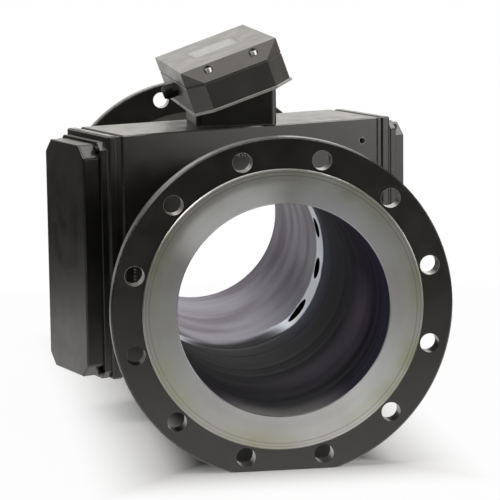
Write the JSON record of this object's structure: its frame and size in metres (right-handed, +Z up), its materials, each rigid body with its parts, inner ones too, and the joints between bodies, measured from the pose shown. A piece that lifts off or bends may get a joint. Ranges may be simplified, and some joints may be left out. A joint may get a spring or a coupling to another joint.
{
  "type": "ultrasonic gas meter",
  "caption": "Flanged straight-through gas meter: a pipe run crossed by a skewed block that holds ultrasonic sensors under end covers, with a tilted electronics head on a square neck.",
  "frame": {"origin": "centre of the flow bore at mid-length", "axes": "+Y along the flow bore from the front flange to the rear flange, +Z up through the neck and head, +X to the right seen from the front flange"},
  "size_m": [0.5511, 0.9, 0.557],
  "materials": {
    "body_paint": "satin black paint on steel, with bare machined gasket faces and bore",
    "cover_paint": "satin black paint on aluminium",
    "head_paint": "satin dark grey paint on cast aluminium",
    "sensor_metal": "turned stainless steel",
    "nut_metal": "turned stainless steel",
    "screw_metal": "bright zinc-plated steel",
    "seal_rubber": "black rubber",
    "black_plastic": "moulded plastic",
    "loom_sheath": "flexible sheath over wires",
    "window_glass": "clear flat glass",
    "board_laminate": "green glass-fibre laminate",
    "standoff_metal": "turned brass",
    "battery_sleeve": "shrink sleeve over a lithium cell",
    "gland_plastic": "moulded polyamide"
  },
  "bodies": {
    "root": {"battery_pack": "battery_sleeve", "board_standoffs": "standoff_metal", "cable_gland_body": "gland_plastic", "cable_gland_cap": "gland_plastic", "cable_gland_seal": "seal_rubber", "cover_screws": "screw_metal", "display_module": "black_plastic", "display_window": "window_glass", "frame_screws": "screw_metal", "front_flange": "body_paint", "head_base": "head_paint", "head_gasket": "seal_rubber", "head_lid": "head_paint", "head_screws": "screw_metal", "left_cover": "cover_paint", "left_cover_gasket": "seal_rubber", "left_frame_gasket": "seal_rubber", "left_gland_nuts": "nut_metal", "left_loom": "loom_sheath", "left_plugs": "black_plastic", "left_seal_rings": "seal_rubber", "left_side_frame": "cover_paint", "left_transducer_1": "sensor_metal", "left_transducer_2": "sensor_metal", "left_transducer_3": "sensor_metal", "left_transducer_4": "sensor_metal", "lid_screws": "screw_metal", "lid_seal": "seal_rubber", "main_board": "board_laminate", "measuring_tube": "body_paint", "neck": "cover_paint", "neck_gasket": "seal_rubber", "neck_screws": "screw_metal", "rear_flange": "body_paint", "right_cover": "cover_paint", "right_cover_gasket": "seal_rubber", "right_frame_gasket": "seal_rubber", "right_gland_nuts": "nut_metal", "right_loom": "loom_sheath", "right_plugs": "black_plastic", "right_seal_rings": "seal_rubber", "right_side_frame": "cover_paint", "right_transducer_1": "sensor_metal", "right_transducer_2": "sensor_metal", "right_transducer_3": "sensor_metal", "right_transducer_4": "sensor_metal", "sensor_block": "body_paint", "terminal_block": "black_plastic"}
  },
  "joints": []
}
